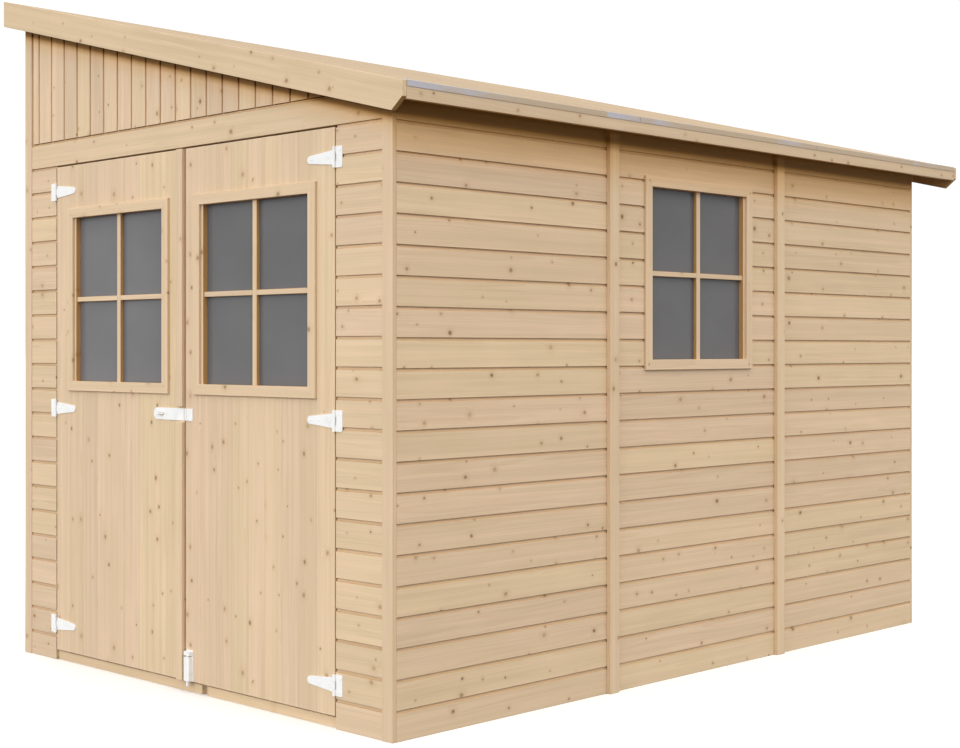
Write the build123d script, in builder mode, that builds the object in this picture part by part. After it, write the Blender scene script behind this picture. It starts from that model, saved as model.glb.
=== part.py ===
# Wooden garden shed with a lean-to board roof, double doors and a side window.
# Millimetres. +Z is up, the doors face -Y, the low wall faces +X, and the origin is the centre of the base.

import os
from math import hypot

from build123d import *

os.makedirs("parts", exist_ok=True)

# Walls
wall_width = 2040.0
wall_length = 2890.0
board_thickness = 16.0
stud_depth = 28.0
stud_face = 45.0
panel_gap = 2.0
side_panel_count = 3
rear_panel_count = 2

# Roof
roof_slope_share = 0.248
eaves_height = 1900.0
low_overhang = 80.0
high_overhang = 95.0
front_overhang = 52.0
rear_overhang = 240.0
deck_thickness = 16.0
barge_thickness = 18.0
barge_depth = 95.0
barge_end_height = 47.0
barge_clip = 46.0
fascia_thickness = 18.0
eaves_fascia_depth = 37.0
high_fascia_depth = 75.0
purlin_width = 45.0
purlin_depth = 70.0
purlin_place_shares = (-1 / 3, 1 / 3)
strip_thickness = 1.5
strip_top_leg = 40.0

# Doorway and doors
left_panel_width = 215.0
right_panel_width = 253.0
transom_drop = 8.0
transom_depth = 93.0
door_gap = 6.0
door_bottom = 38.0
door_head_gap = 5.5
meeting_offset = 18.5
ledge_thickness = 16.0
ledge_depth = 90.0
ledge_inset = 50.0
brace_width = 90.0
brace_clearance = 1.0
meeting_strip_width = 33.0
meeting_strip_thickness = 12.0

# Windows
hinge_stile_width = 129.0
free_stile_width = 96.5
window_height = 588.0
side_window_width = 525.0
window_trim_width = 35.0
window_trim_thickness = 9.0
window_side_reveal = 11.0
lining_thickness = 16.0
lining_depth = 36.0
glass_thickness = 4.0
glass_setback = 22.0
window_head_clearance = 40.0
window_foot_clearance = 39.0
side_window_drop = 113.0

# Cover boards
corner_trim_width = 45.0
corner_trim_thickness = 16.0
corner_trim_reveal = 3.0
batten_width = 47.0
batten_thickness = 16.0

# Floor and sills
floor_joist_height = 24.0
floor_joist_width = 45.0
floor_joist_place_shares = (-0.92, -0.46, 0.0, 0.46, 0.92)
floor_board_thickness = 16.0
floor_clearance = 2.0
sill_height = 32.0
sill_depth = 74.0
sill_recess = 10.0
left_sill_end = 79.0
sill_gap = 33.0

# Strap hinges
low_hinge_inset = 94.0
high_hinge_inset = 90.5
hinge_thickness = 2.5
barrel_radius = 5.0
barrel_clearance = 0.5
hinge_pin_radius = 2.5
hinge_pin_clearance = 0.05
hinge_flat_start = 6.5
hinge_plate_width = 27.0
hinge_plate_height = 64.0
hinge_plate_corner = 4.0
hinge_knuckle_length = 20.0
hinge_knuckle_gap = 0.5
hinge_strap_length = 128.0
hinge_strap_root = 44.0
hinge_strap_tip = 24.0

# Hasp and bolt
fitting_thickness = 2.5
hasp_drop = 2.0
hasp_width = 40.0
hasp_strap_length = 174.0
hasp_leaf_length = 36.0
hasp_knuckle_radius = 4.0
hasp_inset = 1.0
hasp_slot_length = 40.0
hasp_slot_width = 10.0
hasp_slot_place = 42.0
hasp_break = 6.0
staple_radius = 13.0
staple_wire = 3.0
bolt_plate_width = 36.0
bolt_plate_height = 103.0
bolt_plate_corner = 3.0
bolt_inset = 6.0
bolt_rod_radius = 5.5
bolt_rod_clearance = 1.0
bolt_rod_foot = 24.0
bolt_rod_top = 8.0
bolt_case_width = 30.0
bolt_case_corner = 4.0
bolt_case_wall = 2.5
bolt_case_inset = 3.0
bolt_cap_height = 13.0
bolt_slot_height = 5.0

cut_overrun = 5.0

# Faces of the walls, worked out from the driving sizes
wall_x = wall_width / 2
wall_y = wall_length / 2
board_in_x = wall_x - board_thickness
frame_in_x = board_in_x - stud_depth
end_face_y = wall_y + corner_trim_thickness - corner_trim_reveal
end_in_y = end_face_y - board_thickness
end_frame_y = end_in_y - stud_depth
trim_in_x = wall_x - corner_trim_width
low_edge = wall_x + low_overhang
high_edge = -wall_x - high_overhang
front_barge_face = -wall_y - front_overhang
rear_barge_face = wall_y + rear_overhang
deck_front = front_barge_face + barge_thickness
deck_rear = rear_barge_face - barge_thickness
deck_drop = deck_thickness * hypot(1, roof_slope_share)
stud_drop = stud_face * hypot(1, roof_slope_share)
opening_left = -wall_x + left_panel_width
opening_right = wall_x - right_panel_width
floor_top = floor_joist_height + floor_board_thickness
door_pair_width = opening_right - opening_left - 3 * door_gap
left_door_width = door_pair_width / 2 + meeting_offset
right_door_width = door_pair_width / 2 - meeting_offset
window_width = right_door_width - hinge_stile_width - free_stile_width
left_door_low = opening_left + door_gap
left_door_high = left_door_low + left_door_width
right_door_low = left_door_high + door_gap
right_door_high = right_door_low + right_door_width


def roof_top(x):
    """Height of the top of the roof boards at x."""
    return eaves_height + roof_slope_share * (low_edge - x)


def roof_under(x):
    """Height of the underside of the roof boards at x."""
    return roof_top(x) - deck_drop


def upright(x_low, x_high, z_low, z_high):
    """Level rectangle in the plane of the doors."""
    return [(x_low, z_low), (x_high, z_low), (x_high, z_high), (x_low, z_high)]


def up_to_roof(x_low, x_high, z_low):
    """Rectangle whose top is bevelled to the underside of the roof."""
    return [(x_low, z_low), (x_high, z_low), (x_high, roof_under(x_high)), (x_low, roof_under(x_low))]


def along_roof(x_low, x_high, drop):
    """Strip that hangs below the roof boards and follows their slope."""
    return [
        (x_low, roof_under(x_low) - drop),
        (x_high, roof_under(x_high) - drop),
        (x_high, roof_under(x_high)),
        (x_low, roof_under(x_low)),
    ]


def save(name, part):
    """Label a finished piece and write it."""
    part.label = name
    export_step(part, f"parts/{name}.step")


def timber(name, pieces):
    """Solids with an outline in x and z, each run between two places in y."""
    with BuildPart() as body:
        for outline, y_low, y_high in pieces:
            with BuildSketch(Plane.XZ.offset(-y_high)):
                with BuildLine():
                    Polyline(*outline, close=True)
                make_face()
            extrude(amount=y_high - y_low)
    save(name, body.part)


def spread(low, high, count):
    """Equal lengths between two ends, with the panel gap left between neighbours."""
    pitch = (high - low + panel_gap) / count
    return [(low + pitch * i, low + pitch * (i + 1) - panel_gap) for i in range(count)]


# Heights that follow the roof, from the eaves down
transom_top = roof_under(board_in_x) - transom_drop
transom_bottom = transom_top - transom_depth
header_top = transom_bottom + stud_face
door_top = transom_bottom - door_head_gap
low_hinge = door_bottom + low_hinge_inset
high_hinge = door_top - high_hinge_inset
door_window_head = high_hinge - ledge_depth / 2 - window_head_clearance - lining_thickness
door_window_foot = door_window_head - window_height
door_window_height = (door_window_head + door_window_foot) / 2
middle_hinge = door_window_foot - lining_thickness - window_foot_clearance - ledge_depth / 2
hinge_heights = (low_hinge, middle_hinge, high_hinge)
hasp_height = middle_hinge - hasp_drop
low_rail_bottom = roof_under(board_in_x) - stud_face
high_rail_bottom = roof_under(-frame_in_x) - stud_face
window_head = low_rail_bottom - side_window_drop - stud_face
window_foot = window_head - window_height - 2 * lining_thickness
side_window_height = (window_head + window_foot) / 2

# Panels along the side walls and across the rear wall
side_panels = spread(-wall_y, wall_y, side_panel_count)
rear_panels = spread(-trim_in_x, trim_in_x, rear_panel_count)
side_joints = [(one[1] + two[0]) / 2 for one, two in zip(side_panels, side_panels[1:])]
rear_joints = [(one[1] + two[0]) / 2 for one, two in zip(rear_panels, rear_panels[1:])]
window_panel = side_panels[side_panel_count // 2]
side_window_y = sum(window_panel) / 2
low_boards = up_to_roof(board_in_x, wall_x, 0)
high_boards = up_to_roof(-wall_x, -board_in_x, 0)

# Boarding of the side walls
timber("low_wall_panels", [(low_boards, *panel) for panel in side_panels if panel != window_panel])
timber("high_wall_panels", [(high_boards, *panel) for panel in side_panels])

with BuildPart() as low_wall_window_panel:
    with BuildSketch(Plane.XZ.offset(-window_panel[1])):
        with BuildLine():
            Polyline(*low_boards, close=True)
        make_face()
    extrude(amount=window_panel[1] - window_panel[0])
    with BuildSketch(Plane.YZ.offset(board_in_x - cut_overrun)):
        with Locations((side_window_y, side_window_height)):
            Rectangle(side_window_width + 2 * lining_thickness, window_height + 2 * lining_thickness)
    extrude(amount=board_thickness + 2 * cut_overrun, mode=Mode.SUBTRACT)
save("low_wall_window_panel", low_wall_window_panel.part)

# Boarding of the front and rear walls
front_boards = (-end_face_y, -end_in_y)
rear_boards = (end_in_y, end_face_y)
timber(
    "front_side_panels",
    [
        (upright(-trim_in_x, opening_left, 0, transom_bottom), *front_boards),
        (upright(opening_right, trim_in_x, 0, transom_bottom), *front_boards),
    ],
)
timber("front_transom", [(upright(-trim_in_x, trim_in_x, transom_bottom, transom_top), *front_boards)])
timber("front_gable", [(up_to_roof(-trim_in_x, trim_in_x, transom_top), *front_boards)])
timber("rear_wall_panels", [(upright(*panel, 0, transom_top), *rear_boards) for panel in rear_panels])
timber("rear_gable", [(up_to_roof(-trim_in_x, trim_in_x, transom_top), *rear_boards)])

# Frame of the side walls: rails along the length, studs between them
full_length = (-wall_y, wall_y)
window_side = side_window_width / 2 + lining_thickness
window_span = (side_window_y - window_side, side_window_y + window_side)
timber(
    "side_wall_rails",
    [
        (upright(frame_in_x, board_in_x, 0, stud_face), *full_length),
        (up_to_roof(frame_in_x, board_in_x, low_rail_bottom), *full_length),
        (upright(frame_in_x, board_in_x, window_foot - stud_face, window_foot), *window_span),
        (upright(frame_in_x, board_in_x, window_head, window_head + stud_face), *window_span),
        (upright(-board_in_x, -frame_in_x, 0, stud_face), *full_length),
        (up_to_roof(-board_in_x, -frame_in_x, high_rail_bottom), *full_length),
    ],
)
end_stud = wall_y - stud_face / 2
joint_studs = [-end_stud, *side_joints, end_stud]
window_studs = [window_span[0] - stud_face / 2, window_span[1] + stud_face / 2]
low_stud = upright(frame_in_x, board_in_x, stud_face, low_rail_bottom)
high_stud = upright(-board_in_x, -frame_in_x, stud_face, high_rail_bottom)
timber(
    "side_wall_studs",
    [(low_stud, y - stud_face / 2, y + stud_face / 2) for y in joint_studs + window_studs]
    + [(high_stud, y - stud_face / 2, y + stud_face / 2) for y in joint_studs],
)

# Frame of the front and rear walls: posts, a header and a sloping rail under the roof
front_frame = (-end_in_y, -end_frame_y)
rear_frame = (end_frame_y, end_in_y)
corner_post = frame_in_x - stud_face / 2
front_posts = [-corner_post, opening_left - stud_face / 2, opening_right + stud_face / 2, corner_post]
rear_posts = [-corner_post, *rear_joints, corner_post]
timber(
    "end_wall_posts",
    [(upright(x - stud_face / 2, x + stud_face / 2, 0, transom_bottom), *front_frame) for x in front_posts]
    + [(upright(x - stud_face / 2, x + stud_face / 2, 0, transom_bottom), *rear_frame) for x in rear_posts],
)
header = upright(-frame_in_x, frame_in_x, transom_bottom, header_top)
gable_rail = along_roof(-frame_in_x, frame_in_x, stud_drop)
timber(
    "end_wall_rails",
    [(header, *front_frame), (gable_rail, *front_frame), (header, *rear_frame), (gable_rail, *rear_frame)],
)

# Corner trims on the front and rear faces, and battens over the panel joints
trim_outlines = [
    up_to_roof(-wall_x, -wall_x + corner_trim_width, 0),
    up_to_roof(wall_x - corner_trim_width, wall_x, 0),
]
trim_runs = [(-wall_y - corner_trim_thickness, -wall_y), (wall_y, wall_y + corner_trim_thickness)]
timber("corner_trims", [(outline, *run) for outline in trim_outlines for run in trim_runs])
side_batten_outlines = [
    up_to_roof(wall_x, wall_x + batten_thickness, 0),
    up_to_roof(-wall_x - batten_thickness, -wall_x, 0),
]
side_batten_runs = [(y - batten_width / 2, y + batten_width / 2) for y in side_joints]
rear_batten_run = (end_face_y, end_face_y + batten_thickness)
timber(
    "joint_battens",
    [(outline, *run) for outline in side_batten_outlines for run in side_batten_runs]
    + [
        (up_to_roof(x - batten_width / 2, x + batten_width / 2, 0), *rear_batten_run)
        for x in rear_joints
    ],
)

# Roof boards in panels, with purlins, fascias and eaves strips
deck_outline = [
    (high_edge, roof_under(high_edge)),
    (low_edge, roof_under(low_edge)),
    (low_edge, roof_top(low_edge)),
    (high_edge, roof_top(high_edge)),
]
roof_panels = spread(deck_front, deck_rear, side_panel_count)
timber("roof_panels", [(deck_outline, *panel) for panel in roof_panels])

purlin_places = [share * wall_width / 2 for share in purlin_place_shares]
timber(
    "roof_purlins",
    [
        (
            up_to_roof(x - purlin_width / 2, x + purlin_width / 2, roof_under(x) - purlin_depth),
            -end_frame_y,
            end_frame_y,
        )
        for x in purlin_places
    ],
)
timber(
    "eaves_fascia",
    [
        (
            up_to_roof(low_edge - fascia_thickness, low_edge, roof_under(low_edge) - eaves_fascia_depth),
            deck_front,
            deck_rear,
        )
    ],
)
timber(
    "high_fascia",
    [
        (
            up_to_roof(high_edge, high_edge + fascia_thickness, roof_under(high_edge) - high_fascia_depth),
            deck_front,
            deck_rear,
        )
    ],
)

strip_inner = low_edge - strip_top_leg
strip_outer = low_edge + strip_thickness
strip_outline = [
    (low_edge, roof_under(low_edge)),
    (strip_outer, roof_under(low_edge)),
    (strip_outer, roof_top(strip_outer) + strip_thickness),
    (strip_inner, roof_top(strip_inner) + strip_thickness),
    (strip_inner, roof_top(strip_inner)),
    (low_edge, roof_top(low_edge)),
]
timber("eaves_strips", [(strip_outline, *panel) for panel in roof_panels])

# Barge boards that follow the slope, with the lower end clipped
clip_x = low_edge - barge_clip
barge_outline = [
    (high_edge, roof_top(high_edge) - barge_depth),
    (clip_x, roof_top(clip_x) - barge_depth),
    (low_edge, roof_top(low_edge) - barge_end_height),
    (low_edge, roof_top(low_edge)),
    (high_edge, roof_top(high_edge)),
]
timber(
    "barge_boards",
    [
        (barge_outline, front_barge_face, front_barge_face + barge_thickness),
        (barge_outline, rear_barge_face - barge_thickness, rear_barge_face),
    ],
)

# Floor of boards on joists, and the two sills under the doors
sill_front = -end_face_y + sill_recess
sill_rear = sill_front + sill_depth
floor_x = frame_in_x - floor_clearance
floor_y = end_frame_y - floor_clearance
with BuildPart() as floor_boards:
    with BuildSketch(Plane.XY.offset(floor_joist_height)):
        with BuildLine():
            Polyline(
                (-floor_x, floor_y),
                (-floor_x, -floor_y),
                (opening_left, -floor_y),
                (opening_left, sill_rear),
                (opening_right, sill_rear),
                (opening_right, -floor_y),
                (floor_x, -floor_y),
                (floor_x, floor_y),
                close=True,
            )
        make_face()
    extrude(amount=floor_board_thickness)
save("floor_boards", floor_boards.part)

joist_places = [share * floor_x for share in floor_joist_place_shares]
timber(
    "floor_joists",
    [
        (
            upright(x - floor_joist_width / 2, x + floor_joist_width / 2, 0, floor_joist_height),
            sill_rear,
            floor_y,
        )
        for x in joist_places
    ],
)
timber(
    "front_sills",
    [
        (upright(opening_left, left_sill_end, 0, sill_height), sill_front, sill_rear),
        (upright(left_sill_end + sill_gap, opening_right, 0, sill_height), sill_front, sill_rear),
    ],
)


def window(name, face, width):
    """Proud trim, lining and pane of one window, on a plane at the middle of the opening."""
    trim_in_width = width + 2 * window_side_reveal
    with BuildPart() as frame:
        with BuildSketch(face):
            Rectangle(trim_in_width + 2 * window_trim_width, window_height + 2 * window_trim_width)
            Rectangle(trim_in_width, window_height, mode=Mode.SUBTRACT)
        extrude(amount=window_trim_thickness)
        with BuildSketch(face.offset(-lining_depth)):
            Rectangle(width + 2 * lining_thickness, window_height + 2 * lining_thickness)
            Rectangle(width, window_height, mode=Mode.SUBTRACT)
        extrude(amount=lining_depth)
    save(f"{name}_frame", frame.part)
    with BuildPart() as pane:
        with BuildSketch(face.offset(-glass_setback)):
            Rectangle(width, window_height)
        extrude(amount=glass_thickness)
    save(f"{name}_glass", pane.part)


window(
    "side_window",
    Plane((wall_x, side_window_y, side_window_height), x_dir=(0, 1, 0), z_dir=(1, 0, 0)),
    side_window_width,
)


def door(side, x_low, x_high, hinge_x, free_x):
    """Boarded leaf with its window, and the ledges and brace behind it."""
    inward = 1 if free_x > hinge_x else -1
    middle = hinge_x + inward * (hinge_stile_width + window_width / 2)
    with BuildPart() as leaf:
        with BuildSketch(Plane.XZ.offset(end_in_y)):
            with Locations(((x_low + x_high) / 2, (door_bottom + door_top) / 2)):
                Rectangle(x_high - x_low, door_top - door_bottom)
            with Locations((middle, door_window_height)):
                Rectangle(
                    window_width + 2 * lining_thickness,
                    window_height + 2 * lining_thickness,
                    mode=Mode.SUBTRACT,
                )
        extrude(amount=board_thickness)
    save(f"{side}_door_leaf", leaf.part)
    window(
        f"{side}_door_window",
        Plane((middle, -end_face_y, door_window_height), x_dir=(1, 0, 0), z_dir=(0, -1, 0)),
        window_width,
    )
    behind = (-end_in_y, -end_in_y + ledge_thickness)
    ledge_low = x_low + ledge_inset
    ledge_high = x_high - ledge_inset
    brace_foot = hinge_heights[0] + ledge_depth / 2 + brace_clearance
    brace_head = hinge_heights[1] - ledge_depth / 2 - brace_clearance
    foot_x = hinge_x + inward * ledge_inset
    head_x = free_x - inward * ledge_inset
    brace = [
        (foot_x, brace_foot),
        (foot_x + inward * brace_width, brace_foot),
        (head_x, brace_head),
        (head_x - inward * brace_width, brace_head),
    ]
    timber(
        f"{side}_door_ledges",
        [
            (upright(ledge_low, ledge_high, z - ledge_depth / 2, z + ledge_depth / 2), *behind)
            for z in hinge_heights
        ]
        + [(brace, *behind)],
    )


door("left", left_door_low, left_door_high, left_door_low, left_door_high)
door("right", right_door_low, right_door_high, right_door_high, right_door_low)

# Cover strip on the meeting edge of the left door, broken for the hasp
strip_low = left_door_high - meeting_strip_width
strip_run = (-end_face_y - meeting_strip_thickness, -end_face_y)
hasp_foot = hasp_height - hasp_width / 2
hasp_head = hasp_height + hasp_width / 2
timber(
    "meeting_strip",
    [
        (upright(strip_low, left_door_high, door_bottom, hasp_foot - hasp_break), *strip_run),
        (upright(strip_low, left_door_high, hasp_head + hasp_break, door_top), *strip_run),
    ],
)

# Strap hinges: wall plates with two knuckles and the pin, door straps with the middle knuckle
hinge_axis_y = -end_face_y - barrel_radius - barrel_clearance
left_axis_x = opening_left + door_gap / 2
right_axis_x = opening_right - door_gap / 2
middle_knuckle = hinge_plate_height - 2 * hinge_knuckle_length - 2 * hinge_knuckle_gap
front_face = Plane.XZ.offset(end_face_y)

with BuildPart() as hinge_plates:
    for axis_x, outward in ((left_axis_x, -1), (right_axis_x, 1)):
        for height in hinge_heights:
            with BuildSketch(front_face):
                with Locations((axis_x + outward * (hinge_flat_start + hinge_plate_width / 2), height)):
                    RectangleRounded(hinge_plate_width, hinge_plate_height, hinge_plate_corner)
                for end in (-1, 1):
                    tab_z = height + end * (hinge_plate_height - hinge_knuckle_length) / 2
                    tab_run = hinge_flat_start + hinge_plate_corner
                    with Locations((axis_x + outward * tab_run / 2, tab_z)):
                        Rectangle(tab_run, hinge_knuckle_length)
            extrude(amount=hinge_thickness)
            plate_foot = height - hinge_plate_height / 2
            plate_head = height + hinge_plate_height / 2
            for knuckle_z in (plate_foot, plate_head - hinge_knuckle_length):
                with BuildSketch(Plane.XY.offset(knuckle_z)):
                    with Locations((axis_x, hinge_axis_y)):
                        Circle(barrel_radius)
                extrude(amount=hinge_knuckle_length)
            with BuildSketch(Plane.XY.offset(plate_foot)):
                with Locations((axis_x, hinge_axis_y)):
                    Circle(hinge_pin_radius)
            extrude(amount=hinge_plate_height)
save("hinge_plates", hinge_plates.part)


def hinge_straps(side, axis_x, inward):
    """Tapered straps on one door, each with a round tip and a bored knuckle."""
    root_x = axis_x + inward * hinge_flat_start
    taper_x = axis_x + inward * (hinge_strap_length - hinge_strap_tip / 2)
    tip_x = axis_x + inward * hinge_strap_length
    with BuildPart() as straps:
        for height in hinge_heights:
            with BuildSketch(front_face):
                with BuildLine():
                    Line((root_x, height - hinge_strap_root / 2), (root_x, height + hinge_strap_root / 2))
                    Line((root_x, height + hinge_strap_root / 2), (taper_x, height + hinge_strap_tip / 2))
                    ThreePointArc(
                        (taper_x, height + hinge_strap_tip / 2),
                        (tip_x, height),
                        (taper_x, height - hinge_strap_tip / 2),
                    )
                    Line((taper_x, height - hinge_strap_tip / 2), (root_x, height - hinge_strap_root / 2))
                make_face()
                with Locations((axis_x + inward * hinge_flat_start / 2, height)):
                    Rectangle(hinge_flat_start, middle_knuckle)
            extrude(amount=hinge_thickness)
            with BuildSketch(Plane.XY.offset(height - middle_knuckle / 2)):
                with Locations((axis_x, hinge_axis_y)):
                    Circle(barrel_radius)
                    Circle(hinge_pin_radius + hinge_pin_clearance, mode=Mode.SUBTRACT)
            extrude(amount=middle_knuckle)
    save(f"{side}_hinge_straps", straps.part)


hinge_straps("left", left_axis_x, 1)
hinge_straps("right", right_axis_x, -1)

# Hasp strap with a slot for the staple, on the left door
strap_end = left_door_high - hasp_inset
strap_start = strap_end - hasp_strap_length
slot_x = strap_start + hasp_slot_place
with BuildPart() as hasp_strap:
    with BuildSketch(front_face):
        with BuildLine():
            Line((strap_end, hasp_foot), (strap_end, hasp_head))
            Line((strap_end, hasp_head), (strap_start + hasp_width / 2, hasp_head))
            ThreePointArc(
                (strap_start + hasp_width / 2, hasp_head),
                (strap_start, hasp_height),
                (strap_start + hasp_width / 2, hasp_foot),
            )
            Line((strap_start + hasp_width / 2, hasp_foot), (strap_end, hasp_foot))
        make_face()
        with Locations((slot_x, hasp_height)):
            SlotOverall(hasp_slot_length, hasp_slot_width, mode=Mode.SUBTRACT)
    extrude(amount=fitting_thickness)
save("hasp_strap", hasp_strap.part)

# Staple: a half ring of wire that stands out of the door through the slot
with BuildPart() as hasp_staple:
    with BuildSketch(front_face):
        with Locations((slot_x + staple_radius, hasp_height)):
            Circle(staple_wire)
    revolve(axis=Axis((slot_x, -end_face_y, hasp_height), (0, 0, 1)), revolution_arc=-180)
save("hasp_staple", hasp_staple.part)

# Hinged leaf of the hasp, with its knuckle, on the right door
leaf_low = right_door_low + hasp_inset
knuckle_x = leaf_low + hasp_knuckle_radius
with BuildPart() as hasp_leaf:
    with BuildSketch(front_face):
        with Locations((knuckle_x + hasp_leaf_length / 2, hasp_height)):
            Rectangle(hasp_leaf_length, hasp_width)
    extrude(amount=fitting_thickness)
    with BuildSketch(Plane.XY.offset(hasp_foot)):
        with Locations((knuckle_x, -end_face_y - hasp_knuckle_radius)):
            Circle(hasp_knuckle_radius)
    extrude(amount=hasp_width)
save("hasp_leaf", hasp_leaf.part)

# Bolt at the foot of the right door: plate, a case with a cap over its slot, and the rod that drops below
bolt_x = right_door_low + bolt_inset + bolt_plate_width / 2
bolt_head = door_bottom + bolt_plate_height
rod_y = -end_face_y - fitting_thickness - bolt_rod_clearance - bolt_rod_radius
case_out = fitting_thickness + bolt_rod_clearance + 2 * bolt_rod_radius + bolt_case_wall
case_top = bolt_head - bolt_case_inset - bolt_cap_height - bolt_slot_height
case_runs = (
    (door_bottom + bolt_case_inset, case_top),
    (case_top + bolt_slot_height, bolt_head - bolt_case_inset),
)
with BuildPart() as door_bolt:
    with BuildSketch(front_face):
        with Locations((bolt_x, (door_bottom + bolt_head) / 2)):
            RectangleRounded(bolt_plate_width, bolt_plate_height, bolt_plate_corner)
    extrude(amount=fitting_thickness)
    for case_low, case_high in case_runs:
        with BuildSketch(Plane.XY.offset(case_low)):
            with Locations((bolt_x, -end_face_y - case_out / 2)):
                Rectangle(bolt_case_width, case_out)
        extrude(amount=case_high - case_low)
    case_edges = door_bolt.edges().filter_by(Axis.Z).group_by(Axis.Y)[0]
    fillet(case_edges, radius=bolt_case_corner)
    with BuildSketch(Plane.XY.offset(bolt_rod_foot)):
        with Locations((bolt_x, rod_y)):
            Circle(bolt_rod_radius)
    extrude(amount=bolt_head - bolt_rod_top - bolt_rod_foot)
save("door_bolt", door_bolt.part)
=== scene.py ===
import math
import random

import bmesh
import bpy
from bpy.props import FloatProperty, FloatVectorProperty, PointerProperty
from mathutils import Matrix, Vector


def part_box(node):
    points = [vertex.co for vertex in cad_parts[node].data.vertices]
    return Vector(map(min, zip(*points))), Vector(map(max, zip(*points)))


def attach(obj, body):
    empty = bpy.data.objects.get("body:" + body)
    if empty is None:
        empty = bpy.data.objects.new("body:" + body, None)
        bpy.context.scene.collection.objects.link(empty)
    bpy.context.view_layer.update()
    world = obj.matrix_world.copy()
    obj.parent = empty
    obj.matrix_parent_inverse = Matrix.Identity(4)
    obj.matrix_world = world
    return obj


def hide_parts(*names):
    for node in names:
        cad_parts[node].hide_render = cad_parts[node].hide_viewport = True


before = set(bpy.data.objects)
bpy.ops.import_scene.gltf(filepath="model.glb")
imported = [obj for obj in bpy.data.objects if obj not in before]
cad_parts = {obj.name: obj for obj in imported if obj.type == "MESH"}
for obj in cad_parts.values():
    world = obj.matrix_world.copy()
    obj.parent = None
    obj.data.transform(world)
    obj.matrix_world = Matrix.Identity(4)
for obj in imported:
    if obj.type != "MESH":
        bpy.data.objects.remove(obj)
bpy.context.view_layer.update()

bl_info = {
    "name": "Pine garden shed",
    "version": (1, 0, 0),
    "blender": (4, 5, 0),
    "location": "View3D > Sidebar > Shed",
    "description": "Boards, timbers, windows, fittings and studio of a lean-to pine shed",
    "category": "Add Mesh",
}

# Faces of the shed, read from the frame
up = Vector((0, 0, 1))
low_side = Vector((1, 0, 0))
high_side = Vector((-1, 0, 0))
front = Vector((0, -1, 0))
rear = Vector((0, 1, 0))
low_wall_low, low_wall_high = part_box("low_wall_panels")
high_wall_low, high_wall_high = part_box("high_wall_panels")
deck_low, deck_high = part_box("roof_panels")
roof_slope = (high_wall_high.z - low_wall_high.z) / (low_wall_low.x - high_wall_low.x)
roof_normal = Vector((roof_slope, 0, 1)).normalized()
eaves_line = Vector((low_wall_low.x, 0, low_wall_high.z))
under_roof = (eaves_line, roof_normal)
deck_drop = deck_high.z - eaves_line.z - roof_slope * (eaves_line.x - deck_low.x)

# Outer reach of the walls and their battens, with a little room
wall_room = 0.003
wall_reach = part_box("joint_battens")[1] + Vector((wall_room, wall_room, 0.0))


def length(title, note, metres):
    """A size that a user may change."""
    return FloatProperty(name=title, description=note, default=metres, unit="LENGTH", subtype="DISTANCE")


def share(title, note, value):
    """A plain number that a user may change."""
    return FloatProperty(name=title, description=note, default=value)


def colour(title, note, red, green, blue):
    """A colour that a user may change, in linear light."""
    return FloatVectorProperty(
        name=title, description=note, default=(red, green, blue, 1.0), size=4, subtype="COLOR",
        min=0.0, max=1.0,
    )


class ShedBoardSizes(bpy.types.PropertyGroup):
    """Sections of the boards and timbers"""

    cover: length("Wall cover", "Height of wall that one lapped board covers", 0.090)
    cove_height: length("Cove height", "Height of the hollow along a lapped board's top", 0.0095)
    cove_depth: length("Cove depth", "Depth of the hollow along a lapped board's top", 0.0062)
    lap: length("Lap", "Height of the tongue behind the next board", 0.0080)
    lap_play: length("Lap play", "Room between a tongue and the board over it", 0.0003)
    lip_ease: length("Lip ease", "Easing of a lapped board's lower edge", 0.0010)
    gable_cover: length("Gable cover", "Width of one upright board of the gable", 0.0868)
    gable_start: length("Gable start", "Place across the gable where one board begins", 0.0246)
    transom_gap: length("Transom gap", "Gap between the transom and the gable's boards", 0.0020)
    door_cover: length("Door cover", "Width of one upright board of a door", 0.0880)
    roof_cover: length("Roof cover", "Width of one roof board", 0.0900)
    floor_cover: length("Floor cover", "Width of one floor board", 0.0920)
    joint_ease: length("Joint ease", "Easing of the edges of close-laid boards", 0.0006)
    joint_gap: length("Joint gap", "Gap between close-laid boards", 0.0002)
    packing_setback: length("Packing setback", "How far the block between the sills lies behind them", 0.0180)
    packing_depth: length("Packing depth", "Depth of the block between the sills", 0.0400)
    edge_ease: length("Edge ease", "Easing of a timber's edges", 0.0014)


class ShedWindowSizes(bpy.types.PropertyGroup):
    """Sections of the window timbers"""

    trim_width: length("Trim width", "Width of the trim round a window", 0.035)
    trim_thickness: length("Trim thickness", "How far the trim stands off the wall", 0.009)
    side_reveal: length("Side reveal", "Edge of the side linings that shows inside the trim", 0.011)
    lining_thickness: length("Lining thickness", "Thickness of the boards that line the opening", 0.016)
    lining_depth: length("Lining depth", "Depth of the lining behind the wall's face", 0.036)
    upright_bar: length("Upright bar", "Width of the upright glazing bar", 0.022)
    level_bar: length("Level bar", "Width of the level glazing bars", 0.017)
    back_bar: length("Back bar", "Depth of the bars behind the pane", 0.010)
    bar_setback: length("Bar setback", "How far a bar's face lies behind the lining's edge", 0.005)
    ease: length("Ease", "Easing of the window timbers' edges", 0.0010)


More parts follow.
